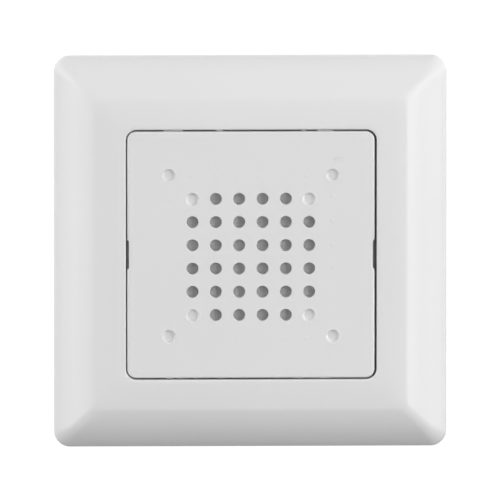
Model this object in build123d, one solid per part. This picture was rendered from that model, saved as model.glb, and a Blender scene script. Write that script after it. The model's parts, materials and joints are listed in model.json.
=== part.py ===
from build123d import *
import os
from math import cos, hypot, radians, sin, sqrt

# A flush doorbell chime. A square cover frame and a perforated centre plate lie on the wall.
# Behind them a carrier holds the loudspeaker on a steel support ring, and a round cup in the
# wall box holds the circuit board and the bell-wire terminals.
# Millimetres. X is right, Z is up and the front faces -Y. The wall is the plane y = 0.
# "Out" is a distance from the wall towards the room, so y = -out.

# Clearances and cuts
overrun = 1.0  # how far a cut runs past the face that it opens
running_gap = 0.1  # round a shaft or a stem in its bore
screw_gap = 0.05  # round a screw in its thread
loose_gap = 0.3  # between pieces that lie side by side
slide_gap = 0.35  # between the centre plate's skirt and the carrier

# Loudspeaker
speaker_r = 16.0
rim_t = 0.8
rim_width = 2.4
basket_depth = 5.6
basket_wall = 0.5
basket_floor_r = 10.2
basket_windows = 6
basket_window_r = 1.3
top_plate_r = 9.0
top_plate_t = 1.0
magnet_r = 10.5
magnet_t = 3.0
magnet_bore_r = 5.5
yoke_r = 9.5
yoke_t = 1.2
pole_r = 3.1
coil_gap = 0.25
coil_wall = 0.4
coil_overhang = 0.5
cone_depth = 2.9
cone_t = 0.35
cone_land = 0.9
cap_rise = 1.2
cap_t = 0.3
surround_width = 2.3
surround_flange = 1.0
surround_t = 0.3
surround_sag = 0.45
gasket_t = 0.7
gasket_width = 1.2

# Speaker terminals and leads
tag_board_width = 9.0
tag_board_height = 3.7
tag_board_t = 0.8
tag_width = 1.8
tag_t = 0.4
tag_spacing = 5.0
lead_r = 0.45
lead_spacing = 2.5
lead_bend_share = 0.9  # of the shorter straight that a bend takes from
plug_width = 6.0
plug_height = 4.0
header_wall = 0.8
header_depth = 6.0
plug_stand = 0.8

# Volume control and melody button
control_r = 1.5
control_wall = 1.15
control_body = 4.8
control_angle = 21.7
guide_wall = 1.2
guide_length = 1.5
collar_r = 2.1
collar_t = 1.0
volume_body_h = 4.0
volume_foot = 1.2
driver_slot_width = 0.6
driver_slot_depth = 0.8
switch_body_h = 3.0
plunger_r = 1.2
plunger_stand = 0.6
plunger_reach = 0.6
melody_travel = 0.4
sign_length = 2.0
sign_width = 0.5
sign_depth = 0.3
sign_offset = 4.6

# Circuit board
board_edge = 0.5
board_t = 1.6
board_gap = 0.6
capacitor_h = 6.5
capacitor_gap = 1.2
board_screw_r = 1.0
board_screw_head_r = 1.9
board_screw_head_t = 1.2
board_screw_length = 5.6
board_screw_inset = 3.3
board_post_r = 2.3

# Carrier
spigot_gap = 0.2
spigot_wall = 1.6
spigot_length = 1.5
pocket_step = 0.8
boss_wall = 2.2
boss_corner_r = 1.5
carrier_t = 1.6
seat_gap = 0.15
seat_wall = 1.25
seat_ledge = 1.7
seat_t = 1.5
head_room = 1.1
flange_t = 1.2
flange_lip = 2.7
flange_corner_r = 3.0
speaker_screw_r = 0.8
speaker_screw_head_r = 2.0
speaker_screw_head_t = 0.8
speaker_screw_boss_r = 1.9
speaker_screw_depth = 3.0
head_overlap = 0.3
speaker_screws_count = 3

# Support ring and the screws through it
ring_t = 1.2
ring_inset = 2.75
ring_corner_r = 4.0
ring_hole_gap = 0.3
box_spacing = 60.0
box_slot_r = 1.8
box_slot_length = 6.0
corner_hole_r = 1.8
corner_spacing = 62.0
window_length = 9.0
window_width = 2.6
window_at = 17.0
window_inset = 4.0
carrier_screw_r = 1.2
carrier_screw_head_r = 2.3
carrier_screw_head_t = 1.5
carrier_screw_sink = 2.5
carrier_screw_end_gap = 0.9  # from the tip to the end of its blind bore
clear_hole_gap = 0.25

# Rear cup
cup_wall = 1.6
cup_floor_t = 1.5
cup_edge_r = 1.0
ear_offset = 2.0
ear_r = 2.6
ear_length = 8.5
ear_floor_t = 1.6
bay_depth = 5.3
bay_wall = 1.2
bay_floor_t = 0.8
vents = 5
vent_pitch = 3.2
vent_width = 1.4
vent_length = 10.0
vent_z = 9.0

# Terminal block
poles = 3
pole_pitch = 5.08
block_wall = 1.0
block_depth = 8.2
block_recess = 1.3
cage_width = 4.0
cage_length = 4.4
cage_wall = 0.6
cage_side_gap = 0.2
wire_space = 3.0
tongue_t = 0.8
tongue_gap = 0.2
cage_travel = 1.8
terminal_screw_r = 1.2
terminal_head_r = 1.9
terminal_head_t = 1.2
head_hole_gap = 0.15
driver_hole_r = 1.5
entry_r = 1.4
pin_r = 0.5
pin_end = 1.0

# Centre plate
skirt_wall = 1.2
plate_t = 2.0
plate_corner_r = 2.0
plate_edge_r = 0.35
plate_flush = 0.1
plate_shift = -0.1
cloth_t = 0.3
cloth_margin = 3.0
hole_r = 1.225
hole_pitch = 4.78
hole_rows = 6
grid_drop = 0.45
dimple_rim_r = 1.62
dimple_floor_r = 1.2
dimple_depth = 0.4
outer_dimple_x = 16.78
outer_dimple_z = 16.56
notch_length = 6.2
notch_depth = 0.42
notch_reach = 3.0
leg_width = 6.0
leg_t = 1.2
leg_recess = 0.4
leg_window_width = 2.6
leg_window_height = 1.2

# Cover frame
plate_gap = 0.35
land_width = 6.66
bevel_width = 7.9
frame_corner_r = 3.3
opening_corner_r = 2.2
rim_height = 2.0
rim_angle = 60
crease_angle = 28
crease_r = 1.3
land_angle = 4
bevel_steps = 8
crease_steps = 3
land_steps = 3
shell_t = 2.0
collar_wall = 1.6
ledge_t = 1.5
ledge_gap = 0.5
ledge_room = 1.1
rib_t = 1.0
rib_at = 12.0


def face_profile():
    """Points of the frame's face as (distance in from the edge, height above the rim).

    The bevel is an arc that flattens from the rim's angle to the crease's. A small arc rounds
    the crease, and a slight crown leads over the land to the opening.
    """
    points = [(0.0, 0.0)]

    def add_arc(radius, from_angle, to_angle, steps):
        x0, y0 = points[-1]
        first = radians(from_angle)
        for i in range(1, steps + 1):
            angle = radians(from_angle + (to_angle - from_angle) * i / steps)
            inset = x0 + radius * (sin(first) - sin(angle))
            points.append((inset, y0 + radius * (cos(angle) - cos(first))))

    bevel_r = bevel_width / (sin(radians(rim_angle)) - sin(radians(crease_angle)))
    add_arc(bevel_r, rim_angle, crease_angle, bevel_steps)
    add_arc(crease_r, crease_angle, land_angle, crease_steps)
    land_run = bevel_width + land_width - points[-1][0]
    add_arc(land_run / sin(radians(land_angle)), land_angle, 0, land_steps)
    return points


profile = face_profile()
bevel_height = profile[bevel_steps][1]
frame_depth = rim_height + profile[-1][1]

# Places across the object, from the axis outwards
control_bore_r = control_r + running_gap
control_at = speaker_r + seat_gap + control_wall + control_bore_r
control_x = control_at * sin(radians(control_angle))
control_z = -control_at * cos(radians(control_angle))
board_r = control_at + control_body / sqrt(2) + board_edge
board_screw_at = board_r - board_screw_inset
cup_bore_r = board_r + board_gap
cup_r = cup_bore_r + cup_wall
spigot_r = cup_bore_r - spigot_gap
spigot_bore_r = spigot_r - spigot_wall
ring_hole_r = spigot_r + ring_hole_gap
boss_half = spigot_bore_r + boss_wall
flange_half = boss_half + flange_lip
skirt_bore_half = boss_half + slide_gap
plate_half = skirt_bore_half + skirt_wall
opening_half = plate_half + plate_gap
frame_half = opening_half + land_width + bevel_width
ring_half = frame_half - shell_t - ring_inset
carrier_screw_at = (cup_r + ear_offset) / sqrt(2)
leg_out_half = boss_half - leg_recess
leg_in_half = leg_out_half - leg_t

# Places along the depth, from the room to the back of the cup
plate_out = frame_depth - plate_flush
plate_back = plate_out - plate_t
cloth_back = plate_back - cloth_t
rim_out = cloth_back - head_room
carrier_back = rim_out - carrier_t
flange_out = ring_t + flange_t
ledge_back = flange_out + ledge_room
ledge_out = ledge_back + ledge_t
basket_back = rim_out - basket_depth
top_plate_back = basket_back - top_plate_t
magnet_back = top_plate_back - magnet_t
yoke_back = magnet_back - yoke_t
board_out = yoke_back - capacitor_gap - capacitor_h
board_back = board_out - board_t
cage_near = board_back - block_wall - loose_gap
tongue_near = cage_near - cage_wall - wire_space
tongue_far = tongue_near - tongue_t
cage_far = tongue_far - tongue_gap - cage_wall
head_near = cage_far - cage_travel - loose_gap
head_far = head_near - terminal_head_t
block_far = head_far - loose_gap - block_wall
cup_back = block_far - block_recess
cup_floor = cup_back + cup_floor_t
ear_bore_end = ear_floor_t - ear_length
bay_floor_out = board_back - loose_gap


def slab(sketch, low, high):
    """A solid with this outline across the object, between two distances out from the wall."""
    return extrude(Plane.XZ.offset(low) * sketch, amount=high - low)


def square(half, corner_r=0.0):
    """A square outline about the axis, with rounded corners where it has a radius."""
    if corner_r > 0:
        return RectangleRounded(2 * half, 2 * half, corner_r)
    return Rectangle(2 * half, 2 * half)


def disc(radius, x=0.0, z=0.0):
    return Pos(x, z) * Circle(radius)


def bar(x, z, width, height, low, high):
    """A box with its middle at a place across the object, between two distances out."""
    return slab(Pos(x, z) * Rectangle(width, height), low, high)


def block(x, width, z_low, z_high, low, high):
    """A box with its middle at a place on X, between two places on Z and two distances out."""
    return bar(x, (z_low + z_high) / 2, width, z_high - z_low, low, high)


def turned(points):
    """A solid turned about the object's axis from (radius, out) points."""
    outline = make_face(Polyline(*[(radius, 0, out) for radius, out in points], close=True))
    return Rot(X=90) * revolve(outline, Axis.Z)


def on_circle(radius, count, start=90):
    """Places (x, z) spaced evenly on a circle."""
    angles = [radians(start + 360 * i / count) for i in range(count)]
    return [(radius * cos(a), radius * sin(a)) for a in angles]


def four_sides(piece):
    """A piece at the middle of one side, repeated on all four."""
    return [Rot(Y=90 * i) * piece for i in range(4)]


# The cover's face

def cover_frame():
    run = bevel_width + land_width
    sections = []
    for inset, rise in profile:
        corner = frame_corner_r + (opening_corner_r - frame_corner_r) * inset / run
        sections.append(Plane.XZ.offset(rim_height + rise) * square(frame_half - inset, corner))
    body = slab(square(frame_half, frame_corner_r), 0, rim_height) + loft(sections, ruled=True)

    # The hollow behind the face follows the bevel's chord at the shell's thickness
    start_inset = shell_t * hypot(bevel_width, bevel_height) / bevel_height
    hollow_out = rim_height + bevel_height - shell_t
    end_inset = start_inset + (hollow_out - rim_height) * bevel_width / bevel_height
    steps = [(0, shell_t), (rim_height, start_inset), (hollow_out, end_inset)]
    hollow = slab(square(frame_half - shell_t, opening_corner_r), -overrun, 0)
    hollow += loft(
        [Plane.XZ.offset(out) * square(frame_half - inset, opening_corner_r) for out, inset in steps],
        ruled=True,
    )
    hollow -= slab(square(opening_half + collar_wall, opening_corner_r), ledge_back, frame_depth)
    for x in (-rib_at, rib_at):
        rib = block(x, rib_t, flange_half + loose_gap, frame_half, ring_t + loose_gap, frame_depth)
        hollow -= four_sides(rib)
    body -= hollow
    body -= slab(square(opening_half, opening_corner_r), ledge_out, frame_depth + overrun)
    return body - slab(square(boss_half + ledge_gap, boss_corner_r), -overrun, ledge_out + overrun)


def grid_places():
    """Places of the square grid of sound holes, as (column, row, x, z)."""
    start = -(hole_rows - 1) / 2 * hole_pitch
    places = []
    for i in range(hole_rows):
        for j in range(hole_rows):
            places.append((i, j, start + i * hole_pitch, start + j * hole_pitch - grid_drop))
    return places


def centre_plate():
    body = slab(square(plate_half, plate_corner_r), ledge_out, plate_out)
    body = fillet(body.faces().sort_by(Axis.Y)[0].edges(), plate_edge_r)
    body -= slab(square(skirt_bore_half, boss_corner_r), ledge_out - overrun, plate_back)
    last = hole_rows - 1
    holes, dimples = [], []
    for i, j, x, z in grid_places():
        if i in (0, last) and j in (0, last):
            dimples.append((x, z))
        else:
            holes.append(slab(disc(hole_r, x, z), plate_back - overrun, plate_out + overrun))
    for x in (-outer_dimple_x, outer_dimple_x):
        dimples += [(x, -outer_dimple_z), (x, outer_dimple_z)]
    body -= holes
    for x, z in dimples:
        rim = Plane.XZ.offset(plate_out) * disc(dimple_rim_r, x, z)
        floor = Plane.XZ.offset(plate_out - dimple_depth) * disc(dimple_floor_r, x, z)
        body -= loft([rim, floor])
    for x in (-plate_half, plate_half):
        body -= bar(x, 0, 2 * notch_depth, notch_length, plate_out - notch_reach, plate_out + overrun)
    leg_end = flange_out + loose_gap
    window_end = leg_end + leg_window_height
    leg = block(0, leg_width, leg_in_half, leg_out_half, leg_end, plate_back)
    leg -= block(
        0, leg_window_width, leg_in_half - overrun, leg_out_half + overrun,
        window_end, window_end + leg_window_height,
    )
    body += four_sides(leg)
    return Pos(X=plate_shift) * body


def grille_cloth():
    half = (hole_rows - 1) / 2 * hole_pitch + cloth_margin
    return Pos(X=plate_shift) * slab(square(half, plate_corner_r), cloth_back, plate_back)


# The carrier and the support ring

def speaker_screw_places():
    return on_circle(speaker_r - head_overlap + speaker_screw_head_r, speaker_screws_count)


def corner_places(at):
    return [(x, z) for x in (-at, at) for z in (-at, at)]


def control_places():
    return [(-control_x, control_z), (control_x, control_z)]


def front_carrier():
    seat_back = rim_out - rim_t
    pocket_r = spigot_bore_r - pocket_step
    body = slab(square(boss_half, boss_corner_r), flange_out, rim_out)
    body += slab(square(flange_half, flange_corner_r), ring_t, flange_out)
    body += slab(disc(spigot_r), -spigot_length, ring_t)
    body -= slab(disc(pocket_r), ring_t, carrier_back)
    body -= slab(disc(spigot_bore_r), -spigot_length - overrun, ring_t)
    seat_r = speaker_r + seat_gap
    body += slab(disc(seat_r + seat_wall), seat_back - seat_t, rim_out)
    body += [
        slab(disc(speaker_screw_boss_r, x, z), rim_out - speaker_screw_depth - seat_wall, rim_out)
        for x, z in speaker_screw_places()
    ]
    body += [
        slab(disc(control_bore_r + guide_wall, x, z), -guide_length, rim_out) for x, z in control_places()
    ]
    body -= slab(disc(seat_r), seat_back, rim_out + overrun)
    body -= slab(disc(seat_r - seat_ledge), ring_t, rim_out + overrun)
    body -= [
        slab(disc(speaker_screw_r + screw_gap, x, z), rim_out - speaker_screw_depth, rim_out + overrun)
        for x, z in speaker_screw_places()
    ]
    body -= [
        slab(disc(control_bore_r, x, z), -guide_length - overrun, rim_out + overrun)
        for x, z in control_places()
    ]
    sink_floor = rim_out - carrier_screw_sink
    for x, z in corner_places(carrier_screw_at):
        body -= slab(disc(carrier_screw_head_r + clear_hole_gap, x, z), sink_floor, rim_out + overrun)
        body -= slab(disc(carrier_screw_r + clear_hole_gap, x, z), -overrun, sink_floor + overrun)
    channel_width, channel_floor = leg_width + 2 * loose_gap, leg_in_half - loose_gap
    channel = block(0, channel_width, channel_floor, boss_half + overrun, flange_out, rim_out + overrun)
    body -= four_sides(channel)

    # A minus and a plus beside the volume control
    plus_x = sign_offset - control_x
    strokes = [
        (-sign_offset - control_x, sign_length, sign_width),
        (plus_x, sign_length, sign_width),
        (plus_x, sign_width, sign_length),
    ]
    for x, width, height in strokes:
        body -= bar(x, control_z, width, height, rim_out - sign_depth, rim_out + overrun)
    return body


def support_ring():
    outline = square(ring_half, ring_corner_r) - disc(ring_hole_r)
    for turn in (0, 90):
        for side in (-1, 1):
            slot = Pos(side * box_spacing / 2, 0) * SlotOverall(box_slot_length, 2 * box_slot_r)
            outline -= Rot(Z=turn) * slot
    for x, z in corner_places(corner_spacing / 2):
        outline -= disc(corner_hole_r, x, z)
    for x, z in corner_places(carrier_screw_at):
        outline -= disc(carrier_screw_r + clear_hole_gap, x, z)
    for turn in (0, 90, 180, 270):
        for side in (-1, 1):
            window = Rectangle(window_length, window_width)
            outline -= Rot(Z=turn) * Pos(side * window_at, ring_half - window_inset) * window
    return slab(outline, 0, ring_t)


def screw(shank_r, head_r, head_t, tip, head_base, x, z):
    """A slotted screw, whose head is on the side away from its tip."""
    side = 1 if head_base > tip else -1
    top = head_base + side * head_t
    slot_floor = top - side * head_t / 2
    slot_end = top + side * overrun
    body = slab(disc(shank_r, x, z), *sorted((tip, head_base)))
    body += slab(disc(head_r, x, z), *sorted((head_base, top)))
    return body - bar(x, z, 2 * head_r + overrun, driver_slot_width, *sorted((slot_floor, slot_end)))


def carrier_screws():
    base = rim_out - carrier_screw_sink
    tip = ear_bore_end + carrier_screw_end_gap
    return Part() + [
        screw(carrier_screw_r, carrier_screw_head_r, carrier_screw_head_t, tip, base, x, z)
        for x, z in corner_places(carrier_screw_at)
    ]


def speaker_screws():
    tip = rim_out - speaker_screw_depth + loose_gap
    return Part() + [
        screw(speaker_screw_r, speaker_screw_head_r, speaker_screw_head_t, tip, rim_out, x, z)
        for x, z in speaker_screw_places()
    ]


# The loudspeaker

rim_in_r = speaker_r - rim_width
rim_back = rim_out - rim_t
cone_r = rim_in_r - surround_width
coil_in_r = pole_r + coil_gap
coil_out_r = coil_in_r + coil_wall
top_plate_bore_r = coil_out_r + coil_gap
neck_out = rim_out - cone_depth
tag_board_low = magnet_r + loose_gap
tag_board_high = tag_board_low + tag_board_height
tag_board_back = basket_back - tag_board_t
plug_z = board_r - board_edge - plug_height - header_wall
plug_out = board_out + header_depth + plug_stand


def speaker_basket():
    floor_out = basket_back + basket_wall
    body = turned(
        [
            (speaker_r, rim_out), (speaker_r, rim_back), (rim_in_r + basket_wall, rim_back),
            (basket_floor_r, basket_back), (top_plate_bore_r, basket_back), (top_plate_bore_r, floor_out),
            (basket_floor_r - basket_wall, floor_out), (rim_in_r, rim_back), (rim_in_r, rim_out),
        ]
    )
    window_at_r = (rim_in_r + basket_floor_r) / 2
    for x, z in on_circle(window_at_r, basket_windows, start=0):
        body -= slab(disc(basket_window_r, x, z), basket_back - overrun, rim_back - basket_wall)
    tab_low = basket_floor_r - 2 * basket_wall
    return body + block(0, tag_board_width, tab_low, tag_board_high, basket_back, floor_out)


def cone_surround():
    """The soft roll between the basket's rim and the cone, with its flat edge on the rim."""
    low = rim_out - surround_sag
    mid = (cone_r + rim_in_r) / 2
    edge = rim_in_r + surround_flange
    inner = cone_r + running_gap
    return turned(
        [
            (edge, rim_out), (edge, rim_out + surround_t), (rim_in_r - surround_t, rim_out + surround_t),
            (mid, low + surround_t), (inner, rim_out + surround_t), (inner, rim_out),
            (mid, low), (rim_in_r - surround_t, rim_out),
        ]
    )


def speaker_gasket():
    base = rim_out + surround_t
    edge = rim_in_r + surround_flange
    return slab(disc(edge) - disc(edge - gasket_width), base, base + gasket_t)


def speaker_cone():
    neck_top = neck_out + cone_t
    return turned(
        [
            (coil_in_r, neck_out), (coil_in_r, neck_top), (coil_out_r + cone_land, neck_top),
            (cone_r - cone_t, rim_out + surround_t), (cone_r, rim_out + surround_t), (cone_r, rim_out),
            (coil_out_r + cone_land, neck_out),
        ]
    )


def dust_cap():
    base = neck_out + cone_t
    edge = coil_out_r + cone_land / 2
    outer_r = (edge**2 + cap_rise**2) / (2 * cap_rise)
    centre = base + cap_rise - outer_r
    ball = Pos(Y=-centre) * (Sphere(outer_r) - Sphere(outer_r - cap_t))
    return ball & slab(disc(edge), base, base + cap_rise)


def voice_coil():
    return slab(disc(coil_out_r) - disc(coil_in_r), top_plate_back - coil_overhang, neck_out)


def speaker_top_plate():
    return slab(disc(top_plate_r) - disc(top_plate_bore_r), top_plate_back, basket_back)


def speaker_magnet():
    return slab(disc(magnet_r) - disc(magnet_bore_r), magnet_back, top_plate_back)


def speaker_yoke():
    return slab(disc(yoke_r), yoke_back, magnet_back) + slab(disc(pole_r), magnet_back, basket_back)


def speaker_tag_board():
    return block(0, tag_board_width, tag_board_low, tag_board_high, tag_board_back, basket_back)


def speaker_tags():
    low, high = tag_board_low + loose_gap, tag_board_high + tag_t
    return Part() + [
        block(x, tag_width, low, high, tag_board_back - tag_t, tag_board_back)
        for x in (-tag_spacing / 2, tag_spacing / 2)
    ]


def speaker_lead(side):
    """One insulated lead from its tag to the plug on the board, an S of two equal arcs."""
    start_out = tag_board_back - tag_t
    tag_z = tag_board_high - lead_r
    turn_out = (start_out + plug_out) / 2
    start = (side * tag_spacing / 2, -start_out, tag_z)
    first = (side * tag_spacing / 2, -turn_out, tag_z)
    second = (side * lead_spacing / 2, -turn_out, plug_z)
    end = (side * lead_spacing / 2, -plug_out, plug_z)
    run = start_out - turn_out
    across = hypot(side * (tag_spacing - lead_spacing) / 2, plug_z - tag_z)
    radius = lead_bend_share * min(run, across / 2)
    path = FilletPolyline(start, first, second, end, radius=radius)
    return sweep(Plane(origin=start, z_dir=(0, 1, 0)) * Circle(lead_r), path=path)


def speaker_plug():
    return bar(0, plug_z, plug_width, plug_height, board_out + header_wall, plug_out)


def speaker_header():
    width, height = plug_width + 2 * running_gap, plug_height + 2 * running_gap
    top = board_out + header_depth
    body = bar(0, plug_z, width + 2 * header_wall, height + 2 * header_wall, board_out, top)
    return body - bar(0, plug_z, width, height, board_out + header_wall, top + overrun)


# The two controls

def control_piece(foot_out, x):
    """A plastic stem from a control on the board to the front of the carrier, with its collar."""
    tip_out = rim_out - loose_gap
    collar_out = -guide_length - loose_gap
    body = slab(disc(control_r, x, control_z), foot_out, tip_out)
    return body + slab(disc(collar_r, x, control_z), collar_out - collar_t, collar_out)


def control_housing(height, x):
    return bar(x, control_z, control_body, control_body, board_out, board_out + height)


def volume_trimmer():
    body = control_housing(volume_body_h, -control_x)
    top = board_out + volume_body_h
    return body - slab(disc(control_bore_r, -control_x, control_z), board_out + volume_foot, top + overrun)


def volume_shaft():
    body = control_piece(board_out + volume_foot + running_gap, -control_x)
    tip_out = rim_out - loose_gap
    slot_length, slot_floor = 2 * control_r + overrun, tip_out - driver_slot_depth
    return body - bar(-control_x, control_z, slot_length, driver_slot_width, slot_floor, tip_out + overrun)


plunger_top = board_out + switch_body_h + plunger_stand


def melody_switch():
    body = control_housing(switch_body_h, control_x)
    depth = plunger_reach + melody_travel + running_gap
    top = board_out + switch_body_h
    return body - slab(disc(plunger_r + running_gap, control_x, control_z), top - depth, top + overrun)


def melody_plunger():
    low = board_out + switch_body_h - plunger_reach
    return slab(disc(plunger_r, control_x, control_z), low, plunger_top)


def melody_button():
    return control_piece(plunger_top, control_x)


# The circuit board and what it carries. A place on it is a share of its radius.

resistor_size = (2.0, 1.25, 0.5)
resistor_places_shares = [
    (-0.55, 0.28), (-0.55, 0.40), (-0.10, -0.34), (0.12, -0.34), (0.62, -0.36), (0.66, -0.46),
]
ceramic_size = (2.0, 1.25, 0.9)
ceramic_places_shares = [(-0.28, -0.36), (0.30, -0.36), (0.80, 0.30), (-0.70, 0.12)]
diode_size = (3.6, 1.8, 1.1)
diode_places_shares = [(-0.36, 0.66), (0.66, 0.50)]
bridge_size = (8.3, 6.4, 3.2)
bridge_place_share = (-0.56, -0.20)
regulator_size = (6.6, 6.1, 2.3)
regulator_place_share = (0.56, -0.13)
controller_size = (8.7, 3.9, 1.5)
controller_place_share = (0.02, -0.15)
amplifier_size = (4.9, 3.9, 1.5)
amplifier_place_share = (0.24, 0.10)
filter_capacitor_r = 4.0
filter_capacitor_place_share = (-0.26, 0.24)
output_capacitor_r = 3.15
output_capacitor_place_share = (0.25, 0.44)
supply_capacitor_r = 2.5
supply_capacitor_place_share = (0.55, 0.22)
capacitor_edge_r = 0.5
capacitor_score = 0.3


def on_board(size, share):
    """A component's body, length by width by height, at its place on the board."""
    length, width, height = size
    return bar(share[0] * board_r, share[1] * board_r, length, width, board_out, board_out + height)


def many_on_board(size, shares):
    return Part() + [on_board(size, share) for share in shares]


def capacitor(radius, share):
    """An upright capacitor can, with the cross that scores its top."""
    x, z = share[0] * board_r, share[1] * board_r
    top = board_out + capacitor_h
    body = slab(disc(radius, x, z), board_out, top)
    body = fillet(body.faces().sort_by(Axis.Y)[0].edges(), capacitor_edge_r)
    for width, height in ((radius, capacitor_score), (capacitor_score, radius)):
        body -= bar(x, z, width, height, top - capacitor_score, top + overrun)
    return body


def capacitors():
    return Part() + [
        capacitor(filter_capacitor_r, filter_capacitor_place_share),
        capacitor(output_capacitor_r, output_capacitor_place_share),
        capacitor(supply_capacitor_r, supply_capacitor_place_share),
    ]


block_face = -(cup_bore_r - bay_depth)
block_high = block_face + block_depth
cage_low = block_face + block_wall + cage_side_gap
cage_high = cage_low + cage_length
terminal_z = (cage_low + cage_high) / 2
tongue_end = cage_high + cage_side_gap + tongue_t
pin_z = tongue_end - tongue_t / 2
pole_places = [(i - (poles - 1) / 2) * pole_pitch for i in range(poles)]
block_half = poles * pole_pitch / 2
bay_width = 2 * (block_half + loose_gap)


def circuit_board():
    outline = disc(board_r)
    for x in (-board_screw_at, board_screw_at):
        outline -= disc(board_screw_r + clear_hole_gap, x)
    for x in pole_places:
        outline -= disc(pin_r + running_gap, x, pin_z)
    return slab(outline, board_back, board_out)


def board_screws():
    tip = board_out - board_screw_length
    return Part() + [
        screw(board_screw_r, board_screw_head_r, board_screw_head_t, tip, board_out, x, 0)
        for x in (-board_screw_at, board_screw_at)
    ]


# The terminals

def terminal_block():
    body = block(0, 2 * block_half, block_face, block_high, block_far, board_back)
    cell_width = cage_width + 2 * cage_side_gap
    cell_low, cell_high = block_face + block_wall, tongue_end + running_gap
    head_bore_r = terminal_head_r + head_hole_gap
    entry_y = -(cage_near - cage_wall + tongue_near) / 2
    cell_near = board_back - block_wall
    cell_far = head_near + running_gap
    for x in pole_places:
        body -= block(x, cell_width, cell_low, cell_high, cell_far, cell_near)
        body -= slab(disc(head_bore_r, x, terminal_z), block_far + block_wall, cell_near)
        body -= slab(disc(driver_hole_r, x, terminal_z), block_far - overrun, cell_far)
        body -= slab(disc(pin_r + running_gap, x, pin_z), cell_near, board_back + overrun)
        entry = Cylinder(entry_r, block_wall + 2 * overrun)
        body -= Pos(x, entry_y, block_face + block_wall / 2) * entry
    return body


def terminal_cage(x):
    body = block(x, cage_width, cage_low, cage_high, cage_far, cage_near)
    body -= block(
        x, cage_width - 2 * cage_wall, cage_low - overrun, cage_high + overrun,
        cage_far + cage_wall, cage_near - cage_wall,
    )
    thread_r = terminal_screw_r + screw_gap
    return body - slab(disc(thread_r, x, terminal_z), cage_far - overrun, cage_far + cage_wall + overrun)


def terminal_screw(x):
    tip = tongue_far - running_gap
    return screw(terminal_screw_r, terminal_head_r, terminal_head_t, tip, head_near, x, terminal_z)


def terminal_tongues():
    width = cage_width - 2 * (cage_wall + cage_side_gap)
    tip = block_face + block_wall + loose_gap
    floor = board_back - block_wall
    tongues = []
    for x in pole_places:
        tongue = block(x, width, tip, tongue_end, tongue_far, tongue_near)
        tongue += block(x, width, tongue_end - tongue_t, tongue_end, tongue_far, floor)
        tongue += slab(disc(pin_r, x, pin_z), floor, board_out + pin_end)
        tongues.append(tongue)
    return Part() + tongues


# The rear cup

def rear_cup():
    body = slab(disc(cup_r), cup_back, 0)
    body = fillet(body.faces().sort_by(Axis.Y)[-1].edges(), cup_edge_r)
    for x, z in corner_places(carrier_screw_at):
        body += slab(disc(ear_r, x, z), -ear_length, 0)
    body -= slab(disc(cup_bore_r), cup_floor, overrun)
    for x, z in corner_places(carrier_screw_at):
        body -= slab(disc(carrier_screw_r + screw_gap, x, z), ear_bore_end, overrun)
    for side in (-1, 1):
        x = side * board_screw_at
        body += slab(disc(board_post_r, x), cup_floor, board_back)
        rib_end = side * (cup_bore_r + cup_wall / 2)
        rib_length = abs(rib_end - x)
        body += bar((x + rib_end) / 2, 0, rib_length, rib_t, cup_floor, board_back - loose_gap)
        bore_end = board_out - board_screw_length - loose_gap
        body -= slab(disc(board_screw_r + screw_gap, x), bore_end, board_back + overrun)
    for i in range(vents):
        x = (i - (vents - 1) / 2) * vent_pitch
        vent = Pos(x, vent_z) * SlotOverall(vent_length, vent_width, rotation=90)
        body -= slab(vent, cup_back - overrun, cup_floor + overrun)

    # The bay that the wires turn in, open below and behind. The terminal block is on its upper side
    bay_high = block_high + loose_gap
    bay = block(0, bay_width + 2 * bay_wall, -cup_r, bay_high + bay_wall, cup_floor, bay_floor_out)
    body += bay & slab(disc(cup_bore_r + cup_wall / 2), cup_floor, bay_floor_out)
    floor_back = bay_floor_out - bay_floor_t
    body -= block(0, bay_width, -cup_r - overrun, bay_high, cup_back - overrun, floor_back)
    block_low = block_face - loose_gap
    return body - block(0, bay_width, block_low, bay_high, floor_back - overrun, bay_floor_out + overrun)


sub_parts = {
    "cover_frame": cover_frame(),
    "centre_plate": centre_plate(),
    "grille_cloth": grille_cloth(),
    "front_carrier": front_carrier(),
    "support_ring": support_ring(),
    "carrier_screws": carrier_screws(),
    "rear_cup": rear_cup(),
    "speaker_basket": speaker_basket(),
    "speaker_gasket": speaker_gasket(),
    "cone_surround": cone_surround(),
    "speaker_cone": speaker_cone(),
    "dust_cap": dust_cap(),
    "voice_coil": voice_coil(),
    "speaker_top_plate": speaker_top_plate(),
    "speaker_magnet": speaker_magnet(),
    "speaker_yoke": speaker_yoke(),
    "speaker_tag_board": speaker_tag_board(),
    "speaker_tags": speaker_tags(),
    "speaker_screws": speaker_screws(),
    "speaker_lead_red": speaker_lead(-1),
    "speaker_lead_black": speaker_lead(1),
    "speaker_plug": speaker_plug(),
    "speaker_header": speaker_header(),
    "circuit_board": circuit_board(),
    "board_screws": board_screws(),
    "volume_trimmer": volume_trimmer(),
    "volume_shaft": volume_shaft(),
    "melody_switch": melody_switch(),
    "melody_plunger": melody_plunger(),
    "melody_button": melody_button(),
    "capacitors": capacitors(),
    "bridge_rectifier": on_board(bridge_size, bridge_place_share),
    "voltage_regulator": on_board(regulator_size, regulator_place_share),
    "sound_controller": on_board(controller_size, controller_place_share),
    "amplifier_chip": on_board(amplifier_size, amplifier_place_share),
    "resistors": many_on_board(resistor_size, resistor_places_shares),
    "ceramic_capacitors": many_on_board(ceramic_size, ceramic_places_shares),
    "diodes": many_on_board(diode_size, diode_places_shares),
    "terminal_block": terminal_block(),
    "terminal_tongues": terminal_tongues(),
}
for number, place in enumerate(pole_places, start=1):
    sub_parts[f"terminal_cage_{number}"] = terminal_cage(place)
    sub_parts[f"terminal_screw_{number}"] = terminal_screw(place)

os.makedirs("parts", exist_ok=True)
for name, solid in sub_parts.items():
    export_step(solid, f"parts/{name}.step")
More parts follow.
